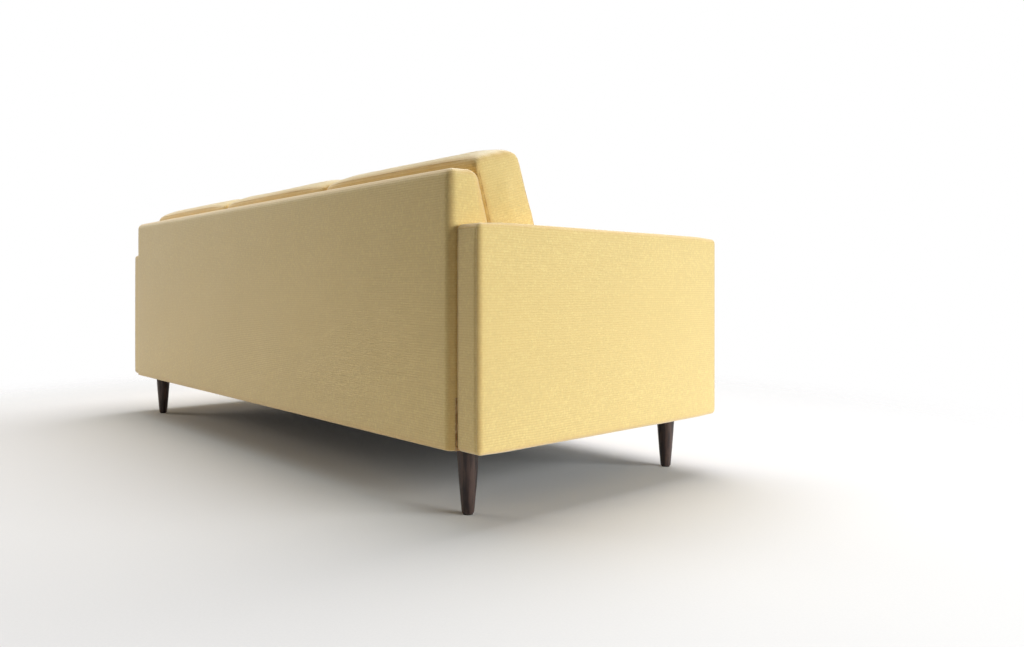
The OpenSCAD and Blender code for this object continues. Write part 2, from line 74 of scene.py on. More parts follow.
# Arms: radius of the long edges and of the corners, crown outside, and the fall of the ends
ARM_R = 10 * MM
ARM_CORNER_R = 12 * MM
ARM_CROWN = 3.0 * MM
ARM_DROOP = 3.5 * MM
ARM_DROOP_OVER = 90 * MM
# Back: depth at its top, and the radius of its ends at the rear, less towards the front
BACK_DEPTH = 76 * MM
BACK_END_R = 20 * MM
BACK_END_R_LOST = 11 * MM


# ---------- mesh helpers ----------


def smoothstep(t):
    t = np.clip(t, 0.0, 1.0)
    return t * t * (3 - 2 * t)


def make_object(name, points, faces):
    mesh = bpy.data.meshes.new(name)
    mesh.from_pydata([tuple(p) for p in points], [], faces)
    mesh.polygons.foreach_set("use_smooth", [True] * len(mesh.polygons))
    mesh.update()
    piece = bpy.data.objects.new(name, mesh)
    bpy.context.scene.collection.objects.link(piece)
    return piece


def points_of(piece):
    co = np.zeros(len(piece.data.vertices) * 3, np.float32)
    piece.data.vertices.foreach_get("co", co)
    return co.reshape(-1, 3).astype(float)


def set_points(piece, points):
    piece.data.vertices.foreach_set("co", np.asarray(points, np.float32).ravel())
    piece.data.update()


def normals_of(piece):
    normals = np.empty(len(piece.data.vertices) * 3)
    piece.data.vertex_normals.foreach_get("vector", normals)
    return normals.reshape(-1, 3)


def bake_modifiers(piece):
    """Replaces the piece's mesh by what its modifiers make of it."""
    seen = piece.evaluated_get(bpy.context.evaluated_depsgraph_get())
    mesh = bpy.data.meshes.new_from_object(seen)
    piece.modifiers.clear()
    piece.data = mesh
    mesh.polygons.foreach_set("use_smooth", [True] * len(mesh.polygons))
    return piece


def ripple(points, size, seed=0.0):
    """Smooth noise from -1 to 1 at each point, with bumps about size wide."""
    shift = Vector((seed, 2 * seed, -seed))
    return np.array([noise.noise(Vector(p) / size + shift) for p in points])


def edge_cuts(low, high, r_low, r_high, cell, extra=()):
    """Where to cut a side between two rounded edges, closer where it curves."""
    steps = 5
    bends = [1 - math.tan(math.pi / 4 * i / steps) for i in range(steps, 0, -1)]
    count = max(2, round((high - low - r_low - r_high) / cell))
    cuts = list(np.linspace(low + r_low, high - r_high, count + 1))
    cuts += [low + r_low * b for b in bends] + [high - r_high * b for b in bends]
    cuts += list(extra)
    cuts.sort()
    kept = [cuts[0]]
    for c in cuts[1:]:
        if c - kept[-1] > 0.25 * MM:
            kept.append(c)
    kept[-1] = high
    return kept


def box_shell(cuts, keep=None):
    """Points and faces over the six sides of a box cut at cuts; keep chooses faces by middle and side."""
    points, faces, index = [], [], {}

    def corner(p):
        key = tuple(round(c, 6) for c in p)
        if key not in index:
            index[key] = len(points)
            points.append(p)
        return index[key]

    for axis in range(3):
        u, v = (axis + 1) % 3, (axis + 2) % 3
        for side in (0, -1):
            for i in range(len(cuts[u]) - 1):
                for j in range(len(cuts[v]) - 1):
                    middle = [0.0, 0.0, 0.0]
                    middle[axis] = cuts[axis][side]
                    middle[u] = (cuts[u][i] + cuts[u][i + 1]) / 2
                    middle[v] = (cuts[v][j] + cuts[v][j + 1]) / 2
                    if keep and not keep(middle, axis, side):
                        continue
                    quad = []
                    for a, b in ((i, j), (i + 1, j), (i + 1, j + 1), (i, j + 1)):
                        p = [0.0, 0.0, 0.0]
                        p[axis] = cuts[axis][side]
                        p[u] = cuts[u][a]
                        p[v] = cuts[v][b]
                        quad.append(corner(p))
                    faces.append(quad if side else quad[::-1])
    return np.array(points), faces


def round_box(points, low, high, r_low, r_high):
    """The points of a box's sides moved onto its rounded edges, and the directions they face."""
    inner = np.clip(points, low + r_low, high - r_high)
    radius = np.where(2 * points < low + high, r_low, r_high)
    facing = (points - inner) / radius
    facing /= np.linalg.norm(facing, axis=1, keepdims=True)
    return inner + facing * radius, facing


def swell(points, facing, low, high, rise_low, rise_high, power=4):
    """Crowns each side by its rise in the middle, and by nothing at its edges."""
    fade = 1 - np.clip(np.abs((2 * points - low - high) / (high - low)), 0, 1) ** power
    out = points.copy()
    for axis in range(3):
        rise = np.where(facing[:, axis] > 0, rise_high[axis], rise_low[axis])
        others = fade[:, (axis + 1) % 3] * fade[:, (axis + 2) % 3]
        out[:, axis] += facing[:, axis] * rise * others
    return out


def edge_share(points, low, high, reach):
    """1 at a box's edges, fading to 0 within reach of them."""
    gap = np.sort(np.minimum(points - low, high - points), axis=1)
    return 1 - smoothstep(np.clip(gap[:, 1], 0, None) / reach)


# How near each point is to an edge; the weave paints it warmer and darker there, partly wear and partly painted
# shade
def set_edge(piece, values):
    attribute = piece.data.attributes.new("edge", "FLOAT", "POINT")
    attribute.data.foreach_set("value", np.asarray(values, np.float32))


def corner_data(piece):
    """Each face corner's vertex, and the face that it belongs to, for a whole mesh at once."""
    mesh = piece.data
    vertex = np.zeros(len(mesh.loops), np.int32)
    mesh.loops.foreach_get("vertex_index", vertex)
    total = np.zeros(len(mesh.polygons), np.int32)
    mesh.polygons.foreach_get("loop_total", total)
    return vertex, np.repeat(np.arange(len(total)), total)


def lay_weave(piece, across=ACROSS, out=Vector((0, 1, 0)), up=Vector((0, 0, 1)), top_turned=False):
    """Writes the weave's UVs in metres: U runs along the ribs and V from rib to rib."""
    basis = np.array([across, out, up])
    mesh = piece.data
    flat = points_of(piece) @ basis.T
    normals = np.zeros(len(mesh.polygons) * 3, np.float32)
    mesh.polygons.foreach_get("normal", normals)
    side = np.abs(normals.reshape(-1, 3) @ basis.T).argmax(1)
    vertex, face = corner_data(piece)
    axes = np.array([(1, 2), (0, 2), (1, 0) if top_turned else (0, 1)])[side[face]]
    uv = np.take_along_axis(flat[vertex], axes, axis=1)
    layer = mesh.uv_layers.new(name="weave")
    mesh.uv_layers.active = layer
    layer.data.foreach_set("uv", uv.astype(np.float32).ravel())


def tube(name, path, radius, sides=8, closed=False):
    """A round strand along a path."""
    path = np.asarray(path, float)
    count = len(path)
    before = np.roll(path, 1, axis=0)
    after = np.roll(path, -1, axis=0)
    if not closed:
        before[0], after[-1] = path[0], path[-1]
    tangent = after - before
    tangent /= np.linalg.norm(tangent, axis=1, keepdims=True)
    side = np.cross(tangent[0], (0.31, 0.53, 0.79))
    side /= np.linalg.norm(side)
    points, faces = [], []
    for p, t in zip(path, tangent):
        side = side - t * (side @ t)
        side /= np.linalg.norm(side)
        other = np.cross(t, side)
        for k in range(sides):
            angle = 2 * math.pi * k / sides
            points.append(p + radius * (math.cos(angle) * side + math.sin(angle) * other))
    rings = count if closed else count - 1
    for i in range(rings):
        a, b = i * sides, (i + 1) % count * sides
        for k in range(sides):
            n = (k + 1) % sides
            faces.append((a + k, a + n, b + n, b + k))
    if not closed:
        faces.append(tuple(range(sides))[::-1])
        faces.append(tuple(range((count - 1) * sides, count * sides)))
    return make_object(name, points, faces)


def finish_piece(piece, body, slot, material, *nodes):
    """Gives a piece its material and body, and hides the CAD nodes that it stands for. The slot is not used."""
    piece.data.materials.clear()
    piece.data.materials.append(material)
    if nodes:
        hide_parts(*nodes)
    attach(piece, body)
    return piece


# ---------- materials ----------


class Graph:
    """A material's nodes, with short calls for those used here."""

    def __init__(self, name, **surface):
        self.material = bpy.data.materials.new(name)
        self.material.use_nodes = True
        self.tree = self.material.node_tree
        self.tree.nodes.clear()
        self.shader = self.node("ShaderNodeBsdfPrincipled")
        for socket, value in surface.items():
            self.shader.inputs[socket.replace("_", " ")].default_value = value
        output = self.node("ShaderNodeOutputMaterial")
        self.tree.links.new(self.shader.outputs[0], output.inputs["Surface"])

    def put(self, socket, value):
        if isinstance(value, bpy.types.NodeSocket):
            self.tree.links.new(value, socket)
        else:
            socket.default_value = value

    def node(self, kind, **settings):
        made = self.tree.nodes.new(kind)
        for key, value in settings.items():
            setattr(made, key, value)
        return made

    def math(self, operation, *values):
        made = self.node("ShaderNodeMath", operation=operation)
        for socket, value in zip(made.inputs, values):
            self.put(socket, value)
        return made.outputs[0]

    def add(self, a, b):
        return self.math("ADD", a, b)

    def times(self, a, b):
        return self.math("MULTIPLY", a, b)

    def ramp(self, value, start, end, low=0.0, high=1.0):
        made = self.node("ShaderNodeMapRange", interpolation_type="SMOOTHSTEP")
        for socket, setting in zip(made.inputs, (value, start, end, low, high)):
            self.put(socket, setting)
        return made.outputs[0]

    def mix(self, share, a, b):
        made = self.node("ShaderNodeMix", data_type="RGBA")
        for place, value in ((0, share), (6, a), (7, b)):
            self.put(made.inputs[place], value)
        return made.outputs[2]

    def place(self, *scale):
        """Object coordinates in metres, stretched by scale."""
        coords = self.node("ShaderNodeTexCoord")
        mapping = self.node("ShaderNodeMapping")
        self.tree.links.new(coords.outputs["Object"], mapping.inputs["Vector"])
        mapping.inputs["Scale"].default_value = scale or (1, 1, 1)
        return mapping.outputs[0]

    def join(self, x, y, z=0.0):
        made = self.node("ShaderNodeCombineXYZ")
        for socket, value in zip(made.inputs, (x, y, z)):
            self.put(socket, value)
        return made.outputs[0]

    def noise(self, vector, scale, detail=2.0, roughness=0.5):
        made = self.node("ShaderNodeTexNoise")
        self.put(made.inputs["Vector"], vector)
        made.inputs["Scale"].default_value = scale
        made.inputs["Detail"].default_value = detail
        made.inputs["Roughness"].default_value = roughness
        return made.outputs[0]

    def weave_uv(self):
        made = self.node("ShaderNodeUVMap", uv_map="weave")
        parts = self.node("ShaderNodeSeparateXYZ")
        self.tree.links.new(made.outputs[0], parts.inputs[0])
        return parts.outputs[0], parts.outputs[1]

    def bump(self, height, distance, strength=1.0):
        made = self.node("ShaderNodeBump")
        made.inputs["Distance"].default_value = distance
        made.inputs["Strength"].default_value = strength
        self.put(made.inputs["Height"], height)
        self.tree.links.new(made.outputs[0], self.shader.inputs["Normal"])

    def colour(self, value):
        self.put(self.shader.inputs["Base Color"], value)

    def rough(self, value):
        self.put(self.shader.inputs["Roughness"], value)


def rgb(red, green, blue):
    """A colour given in sRGB, 0 to 255, as the linear values that shaders take."""

    def linear(c):
        c /= 255
        return c / 12.92 if c <= 0.04045 else ((c + 0.055) / 1.055) ** 2.4

    return (linear(red), linear(green), linear(blue), 1.0)


def woven(name, lit, deep, edge, rib=RIB, pick=PICK, relief=0.38 * MM, slub=1.0):
    """Ribbed upholstery cloth: rows of yarn floats, half a float out of step from row to row."""
    g = Graph(name, Sheen_Weight=0.8, Sheen_Roughness=0.5, Specular_IOR_Level=0.3)
    g.shader.inputs["Sheen Tint"].default_value = (1, 1, 1, 1)
    u, v = g.weave_uv()
    spot = g.join(u, v)
    wander = g.times(g.add(g.noise(spot, 9.0), -0.5), 0.9)
    rows = g.add(g.math("DIVIDE", v, rib), wander)
    row = g.math("FLOOR", rows)
    rib_height = g.math("ABSOLUTE", g.math("SINE", g.times(rows, math.pi)))
    row_mark = g.noise(g.join(row, 0.37), 5.31, 0.0)
    floats = g.add(g.math("DIVIDE", u, pick), g.times(g.math("MODULO", row, 2.0), 0.5))
    floats = g.add(floats, g.times(row_mark, 1.7))
    yarn = g.math("ABSOLUTE", g.math("SINE", g.times(floats, math.pi)))
    yarn = g.math("POWER", yarn, 0.6)
    cloth = g.times(g.math("POWER", rib_height, 0.7), g.add(g.times(yarn, 0.45), 0.55))
    stretched = g.join(g.times(u, 55.0), g.times(v, 190.0))
    slubs = g.noise(stretched, 1.0, 2.0)
    thick = g.ramp(slubs, 0.6, 0.78)
    fibre = g.noise(g.join(g.times(u, 900.0), g.times(v, 1500.0)), 1.0, 2.0)
    height = g.add(cloth, g.add(g.times(thick, 0.35 * slub), g.times(fibre, 0.22)))
    # Rib tops take the lit colour and the valleys the deep one: painted shade in the valleys between ribs and
    # floats
    base = g.mix(g.ramp(cloth, -0.3, 0.7), deep, lit)
    speck = g.noise(g.join(g.times(u, 330.0), g.times(v, 420.0)), 1.0, 1.0)
    base = g.mix(g.ramp(speck, 0.3, 0.52, 0.3, 0.0), base, deep)
    cloudy = g.noise(spot, 3.1, 3.0)
    pale = [min(1.0, c * 1.16 + 0.015) for c in lit[:3]] + [1.0]
    dusky = [c * 0.86 for c in lit[:3]] + [1.0]
    base = g.mix(g.ramp(cloudy, 0.35, 0.7, 0.0, 0.22), base, dusky)
    base = g.mix(g.times(thick, 0.55 * slub), base, pale)
    grain = g.noise(g.join(g.times(g.math("FLOOR", floats), 0.77), g.times(row, 0.61)), 3.3, 0.0)
    base = g.mix(g.ramp(grain, 0.5, 0.3, 0.0, 0.32), base, dusky)
    base = g.mix(g.ramp(grain, 0.55, 0.75, 0.0, 0.42), base, pale)
    base = g.mix(g.ramp(speck, 0.62, 0.72, 0.0, 0.5), base, pale)
    # Near edges and seams the colour turns warmer and darker: partly rubbed wear, partly painted shade along the
    # edges
    edge_wear_and_shade = g.node("ShaderNodeAttribute", attribute_name="edge").outputs["Fac"]
    rubbed_and_shaded = g.times(edge_wear_and_shade, g.ramp(g.noise(spot, 34.0), 0.3, 0.7, 0.55, 1.0))
    g.colour(g.mix(g.times(rubbed_and_shaded, 0.62), base, edge))
    g.rough(g.ramp(cloth, 0.0, 1.0, 0.95, 0.8))
    g.bump(height, relief)
    return g.material


def plain_cloth(name, lit, deep, thread=1.1 * MM, relief=0.25 * MM):
    """Flat plain weave for cloth that is under the cushions or underneath."""
    g = Graph(name, Specular_IOR_Level=0.2)
    u, v = g.weave_uv()
    turns = math.pi / thread
    over = g.times(g.math("SINE", g.times(u, turns)), g.math("SINE", g.times(v, turns)))
    over = g.add(g.times(over, 0.5), 0.5)
    spot = g.join(u, v)
    # Threads where they dip take the deep colour: painted shade in the low places, mixed with random mottle
    g.colour(g.mix(g.add(g.times(over, 0.6), g.times(g.noise(spot, 60.0), 0.4)), deep, lit))
    g.rough(g.ramp(over, 0.0, 1.0, 0.95, 0.82))
    g.bump(over, relief)
    return g.material


def wood(name, dark, light, grain, rings=1.0, rough=0.5, coat=0.0):
    """Timber with its grain along the axis whose grain scale is smallest."""
    g = Graph(name, Coat_Weight=coat, Coat_Roughness=0.35, Specular_IOR_Level=0.4)
    spot = g.place(*grain)
    wide = g.noise(spot, 1.2 * rings, 3.0, 0.6)
    bands = g.math("SINE", g.times(wide, 26.0))
    fine = g.noise(spot, 9.0 * rings, 4.0, 0.7)
    pores = g.ramp(g.noise(spot, 26.0 * rings, 2.0), 0.58, 0.7)
    tone = g.add(g.times(bands, 0.22), g.add(g.times(fine, 0.75), 0.05))
    colour = g.mix(g.ramp(tone, 0.1, 0.8), dark, light)
    g.colour(g.mix(g.times(pores, 0.5), colour, [c * 0.6 for c in dark[:3]] + [1.0]))
    g.rough(g.ramp(fine, 0.2, 0.8, rough - 0.08, rough + 0.12))
    g.bump(g.add(g.times(fine, 0.5), g.times(pores, -0.6)), 0.25 * MM)
    return g.material


def fibrous(name, dark, light, scale, stretch=(1, 1, 1), relief=0.8 * MM, rough=0.95):
    """Wadding, felt, fibreboard or foam: matt, mottled and finely rough."""
    g = Graph(name, Specular_IOR_Level=0.2)
    spot = g.place(*stretch)
    coarse = g.noise(spot, scale, 4.0, 0.65)
    fine = g.noise(spot, scale * 7, 3.0, 0.6)
    both = g.add(g.times(coarse, 0.6), g.times(fine, 0.4))
    g.colour(g.mix(g.ramp(both, 0.3, 0.7), dark, light))
    g.rough(g.ramp(fine, 0.3, 0.7, rough - 0.1, rough))
    g.bump(both, relief)
    return g.material


def metal(name, dark, light, rough=0.36):
    g = Graph(name, Metallic=1.0)
    spot = g.place()
    blotch = g.noise(spot, 55.0, 4.0)
    scratch = g.noise(g.place(3, 3, 0.4), 400.0, 2.0)
    g.colour(g.mix(g.ramp(blotch, 0.35, 0.7), dark, light))
    g.rough(g.ramp(blotch, 0.3, 0.7, rough - 0.08, rough + 0.14))
    g.bump(scratch, 0.05 * MM)
    return g.material


def strap(name, dark, light):
    """Elastic webbing: narrow ribs along the strap, crossed by fine picks."""
    g = Graph(name, Specular_IOR_Level=0.3)
    spot = g.node("ShaderNodeTexCoord").outputs["Object"]
    parts = g.node("ShaderNodeSeparateXYZ")
    g.tree.links.new(spot, parts.inputs[0])
    ribs = g.math("SINE", g.times(parts.outputs[2], math.pi / (2.2 * MM)))
    picks = g.math("SINE", g.times(parts.outputs[0], math.pi / (1.4 * MM)))
    over = g.add(g.times(g.times(ribs, picks), 0.5), 0.5)
    stripe = g.ramp(g.math("ABSOLUTE", g.math("SINE", g.times(parts.outputs[2], 62.8))), 0.86, 0.95)
    g.colour(g.mix(g.times(stripe, 0.5), g.mix(over, dark, light), rgb(150, 120, 90)))
    g.rough(g.ramp(over, 0.0, 1.0, 0.9, 0.7))
    g.bump(over, 0.3 * MM)
    return g.material


# The second colour, for the rib valleys, is painted shade
# The third colour, for edges and seams, is partly wear and partly painted shade
YELLOW = woven("yellow_weave", rgb(244, 214, 141), rgb(228, 192, 115), rgb(236, 192, 116))
LEG = wood("leg_wood", rgb(38, 24, 22), rgb(82, 61, 54), (34, 34, 2.2), 0.9, 0.42, 0.2)
RAIL = wood("frame_wood", rgb(176, 134, 84), rgb(222, 190, 140), (2.0, 24, 24), 1.0, 0.62)
BOARD = fibrous("board", rgb(122, 88, 52), rgb(176, 138, 92), 60.0, relief=0.3 * MM)
WADDING = fibrous("wadding", rgb(206, 205, 198), rgb(244, 244, 240), 45.0, relief=2.5 * MM)
FOAM = fibrous("foam", rgb(224, 214, 178), rgb(246, 240, 214), 260.0, relief=0.8 * MM)
DECKING = plain_cloth("deck_cloth", rgb(226, 206, 160), rgb(176, 152, 104), 1.6 * MM, 0.35 * MM)
DUST = plain_cloth("dust_cloth", rgb(38, 37, 37), rgb(14, 14, 15), 2.4 * MM, 0.25 * MM)
WEBBING = strap("webbing", rgb(34, 31, 29), rgb(92, 84, 74))
STEEL = metal("zinc_steel", rgb(150, 152, 156), rgb(206, 208, 212))
FELT = fibrous("felt", rgb(38, 33, 30), rgb(78, 68, 60), 240.0, relief=0.6 * MM)
# The seam lips take a darker, warmer copy of the yellow weave with finer ribs: painted shade along the seams
SEAM_SHADED_WEAVE = woven("seam_cloth_shaded", rgb(232, 192, 116), rgb(190, 146, 74), rgb(214, 160, 78), 2.4 * MM, 2.0 * MM)

FINISH = {
    "yellow_weave": YELLOW,
    "leg_wood": LEG,
    "frame_wood": RAIL,
    "board": BOARD,
    "wadding": WADDING,
    "foam": FOAM,
    "deck_cloth": DECKING,
    "dust_cloth": DUST,
    "webbing": WEBBING,
    "zinc_steel": STEEL,
    "felt": FELT,
}


def paint_frame():
    """Every CAD node takes the finish of its material slot."""
    for name, slot in SLOTS.items():
        data = frame["nodes"][name].data
        data.materials.clear()
        data.materials.append(FINISH[slot])


# ---------- legs ----------


def make_leg(end, side):
    """Turned taper with a small chamfer at the foot and an eased shoulder at the top."""
    node = f"leg_{end}_{side}"
    low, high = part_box(node)
    middle = (low + high) / 2
    top_r = (high.x - low.x) / 2
    foot_r = top_r * 0.54
    height = high.z - low.z
    rows = [(0.0, 0.0), (foot_r - 2.2 * MM, 0.0), (foot_r - 0.9 * MM, 0.5 * MM), (foot_r, 2.2 * MM)]
    for i in range(1, 16):
        share = i / 16
        belly = 0.7 * MM * math.sin(math.pi * share)
        rows.append((foot_r + (top_r - foot_r) * share + belly, height * share))
    rows += [(top_r - 0.3 * MM, height - 2.2 * MM), (top_r - 1.0 * MM, height - 0.5 * MM)]
    rows += [(top_r - 2.0 * MM, height), (0.0, height)]
    sides = 56
    points = [(middle.x, middle.y, low.z)]
    for radius, z in rows[1:-1]:
        for k in range(sides):
            angle = 2 * math.pi * k / sides
            points.append(
                (middle.x + radius * math.cos(angle), middle.y + radius * math.sin(angle), low.z + z)
            )
    points.append((middle.x, middle.y, low.z + height))
    faces = []
    last = len(points) - 1
    rings = len(rows) - 2
    for k in range(sides):
        n = (k + 1) % sides
        faces.append((0, 1 + n, 1 + k))
        top = 1 + (rings - 1) * sides
        faces.append((last, top + k, top + n))
        for i in range(rings - 1):
            a, b = 1 + i * sides, 1 + (i + 1) * sides
            faces.append((a + k, a + n, b + n, b + k))
    leg = make_object(f"turned_{node}", points, faces)
    finish_piece(leg, "sofa_frame", "leg_wood", LEG, node)


# ---------- arms ----------


def near(position, spread=(-3, -1.8, -0.9, 0, 0.9, 1.8, 3)):
    """Extra cuts each side of a seam."""
    return [position + s * MM for s in spread]


def seam_dip(distance):
    return SEAM_DEEP * np.exp(-((distance / SEAM_WIDE) ** 2))


def make_arm(side):
    """Tight arm cover: one cloth over the top, with strips sewn in at the front and rear."""
    node = f"arm_cover_{side}"
    low, high = (np.array(p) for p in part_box(node))
    r = np.array([ARM_R, ARM_CORNER_R, ARM_CORNER_R])
    seams_x = near(low[0] + SEAM_IN) + near(high[0] - SEAM_IN)
    cuts = [
        edge_cuts(low[0], high[0], r[0], r[0], 9 * MM, seams_x),
        edge_cuts(low[1], high[1], r[1], r[1], 14 * MM),
        edge_cuts(low[2], high[2], r[2], r[2], 14 * MM, near(high[2] - SEAM_IN)),
    ]
    flat, faces = box_shell(cuts)
    edge = edge_share(flat, low, high, 16 * MM)
    points, facing = round_box(flat, low, high, r, r)
    outer = 1 if side == "left" else 0
    rise_x = [0.0, 0.0]
    rise_x[outer] = ARM_CROWN
    points = swell(
        points, facing, low, high, (rise_x[0], 1.5 * MM, 0.5 * MM), (rise_x[1], 1.5 * MM, 1.0 * MM)
    )
    # Strips at the front and rear: a seam down each long edge and along the top
    on_end = np.abs(facing[:, 1]) > 0.6
    gap_x = np.minimum(np.abs(flat[:, 0] - low[0] - SEAM_IN), np.abs(flat[:, 0] - high[0] + SEAM_IN))
    gap_z = np.abs(flat[:, 2] - high[2] + SEAM_IN)
    inside = (flat[:, 0] > low[0] + SEAM_IN) & (flat[:, 0] < high[0] - SEAM_IN)
    gap_x = np.where(flat[:, 2] < high[2] - SEAM_IN, gap_x, 1.0)
    gap = np.minimum(gap_x, np.where(inside, gap_z, 1.0))
    dip = np.where(on_end, seam_dip(gap), 0.0)
    points -= facing * dip[:, None]
    # Long edges fall a little towards the arm's ends
    end_gap = np.minimum(flat[:, 1] - low[1], high[1] - flat[:, 1])
    droop = ARM_DROOP * (1 - smoothstep(end_gap / ARM_DROOP_OVER))
    height = (flat[:, 2] - low[2]) / (high[2] - low[2])
    points[:, 2] += np.where(height > 0.9, -droop, np.where(height < 0.04, droop * 0.5, 0.0))
    points += facing * (ripple(flat, 0.16, 3.0 + outer) * 0.5 * MM)[:, None]
    make_wadding(f"arm_padding_{side}", points, facing, faces, 5 * MM)
    arm = make_object(f"upholstered_{node}", points, faces)
    set_edge(arm, edge)
    lay_weave(arm, top_turned=True)
    finish_piece(arm, "sofa_frame", "yellow_weave", YELLOW, node)


def make_wadding(node, points, facing, faces, thickness):
    """Wadding just under a cover, in the cover's own shape."""
    used = sorted({i for face in faces for i in face})
    order = {old: new for new, old in enumerate(used)}
    inner = (points - facing * (CLOTH + SLIP))[used]
    piece = make_object(f"shaped_{node}", inner, [tuple(order[i] for i in face) for face in faces])
    solid = piece.modifiers.new("wadding", "SOLIDIFY")
    solid.thickness = thickness
    solid.offset = -1
    bake_modifiers(piece)
    finish_piece(piece, "sofa_frame", "wadding", WADDING, node)


# ---------- back ----------


def make_back():
    """Cover of the back: ends, top, slanted inside and a rear panel down to the underside."""
    low, high = (np.array(p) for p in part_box("back_cover"))
    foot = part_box("back_rail_bottom")[0].z
    depth = BACK_DEPTH
    lean = BACK_UP.y / BACK_UP.z
    box_low = np.array([low[0], high[1] - depth, low[2]])
    r_low = np.array([20, 26, 5]) * MM
    r_high = np.array([20, 20, 20]) * MM
    cuts = [
        edge_cuts(box_low[0], high[0], r_low[0], r_high[0], 14 * MM),
        edge_cuts(box_low[1], high[1], r_low[1], r_high[1], 8 * MM),
        edge_cuts(box_low[2], high[2], r_low[2], r_high[2], 14 * MM, [foot]),
    ]
    rear = high[1]

    def keep(middle, axis, side):
        if axis == 1 and side == 0:
            return middle[2] > foot
        if axis == 2 and side == 0:
            return rear - middle[1] < 34 * MM
        if axis == 0 and middle[2] < foot:
            return rear - middle[1] < 26 * MM
        return True

    flat, faces = box_shell(cuts, keep)
    edge = edge_share(flat, box_low, high, 18 * MM)
    depth_share = (high[1] - flat[:, 1]) / depth
    r_ends = BACK_END_R - BACK_END_R_LOST * smoothstep((depth_share - 0.3) / 0.6)
    rounded_low, rounded_high = np.tile(r_low, (len(flat), 1)), np.tile(r_high, (len(flat), 1))
    rounded_low[:, 0] = rounded_high[:, 0] = r_ends
    points, facing = round_box(flat, box_low, high, rounded_low, rounded_high)
    points = swell(points, facing, box_low, high, (0, 0, 0), (0, 3.5 * MM, 1.0 * MM), 6)
    soft = ripple(flat * (0.6, 1, 1.0), 0.15, 9.0) + 0.5 * ripple(flat, 0.07, 4.0)
    points[:, 1] += np.where(facing[:, 1] > 0.5, soft * 0.9 * MM, 0.0)
    # The inside slants: its depth grows from the top's to the foot's
    reach = np.clip((rear - points[:, 1] - 26 * MM) / (depth - 26 * MM), 0, 1)
    drop = np.clip(high[2] - points[:, 2], 0, high[2] - foot)
    points[:, 1] -= reach * drop * lean
    above = [face for face in faces if min(flat[i][2] for i in face) > foot]
    make_wadding("back_padding", points, facing, above, 6 * MM)
    back = make_object("upholstered_back_cover", points, faces)
    set_edge(back, edge)
    solid = back.modifiers.new("cloth", "SOLIDIFY")
    solid.thickness = CLOTH
    solid.offset = -1
    solid.use_even_offset = True
    bake_modifiers(back)
    lay_weave(back)
    finish_piece(back, "sofa_frame", "yellow_weave", YELLOW, "back_cover")


def make_front():
    """Front border below the seat cushions."""
    low, high = (np.array(p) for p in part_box("front_cover"))
    r_low = np.array([2, 10, 10]) * MM
    r_high = np.array([2, 2, 10]) * MM
    cuts = [
        edge_cuts(low[0], high[0], r_low[0], r_high[0], 14 * MM),
        edge_cuts(low[1], high[1], r_low[1], r_high[1], 6 * MM),
        edge_cuts(low[2], high[2], r_low[2], r_high[2], 12 * MM, near(low[2] + 26 * MM)),
    ]
    flat, faces = box_shell(cuts)
    edge = edge_share(flat, low, high, 14 * MM)
    points, facing = round_box(flat, low, high, r_low, r_high)
    points = swell(points, facing, low, high, (0, 2.0 * MM, 0), (0, 0, 0), 6)
    dip = np.where(facing[:, 1] < -0.6, seam_dip(np.abs(flat[:, 2] - low[2] - 26 * MM)), 0.0)
    points -= facing * dip[:, None]
    points += facing * (ripple(flat, 0.14, 6.0) * 0.5 * MM)[:, None]
    make_wadding("front_padding", points, facing, faces, 4 * MM)
    border = make_object("upholstered_front_cover", points, faces)
    set_edge(border, edge)
    lay_weave(border)
    finish_piece(border, "sofa_frame", "yellow_weave", YELLOW, "front_cover")


# ---------- cloths ----------


def sheet_grid(low, high, cell):
    xs = np.linspace(low.x, high.x, round((high.x - low.x) / cell) + 1)
    ys = np.linspace(low.y, high.y, round((high.y - low.y) / cell) + 1)
    points = np.array([(x, y, 0.0) for x in xs for y in ys])
    rows = len(ys)
    faces = [
        (i * rows + j, (i + 1) * rows + j, (i + 1) * rows + j + 1, i * rows + j + 1)
        for i in range(len(xs) - 1)
        for j in range(rows - 1)
    ]
    return points, faces


def border_fade(points, low, high, reach):
    """0 at a sheet's border, 1 from reach inwards."""
    gap = np.minimum(
        np.minimum(points[:, 0] - low.x, high.x - points[:, 0]),
        np.minimum(points[:, 1] - low.y, high.y - points[:, 1]),
    )
    return smoothstep(gap / reach)


def make_deck():
    """Decking stretched over the springs under the seat cushions."""
    low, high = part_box("deck_cloth")
    points, faces = sheet_grid(low, high, 16 * MM)
    fall = -DECK_BACK.z / DECK_BACK.y
    points[:, 2] = high.z - (points[:, 1] - low.y) * fall
    give = 0.5 + 0.5 * ripple(points, 0.12, 2.0)
    points[:, 2] -= border_fade(points, low, high, 0.07) * (0.6 + give) * MM
    deck = make_object("stretched_deck_cloth", points, faces)
    solid = deck.modifiers.new("cloth", "SOLIDIFY")
    solid.thickness = CLOTH
    solid.offset = -1
    bake_modifiers(deck)
    lay_weave(deck)
    finish_piece(deck, "sofa_frame", "deck_cloth", DECKING, "deck_cloth")


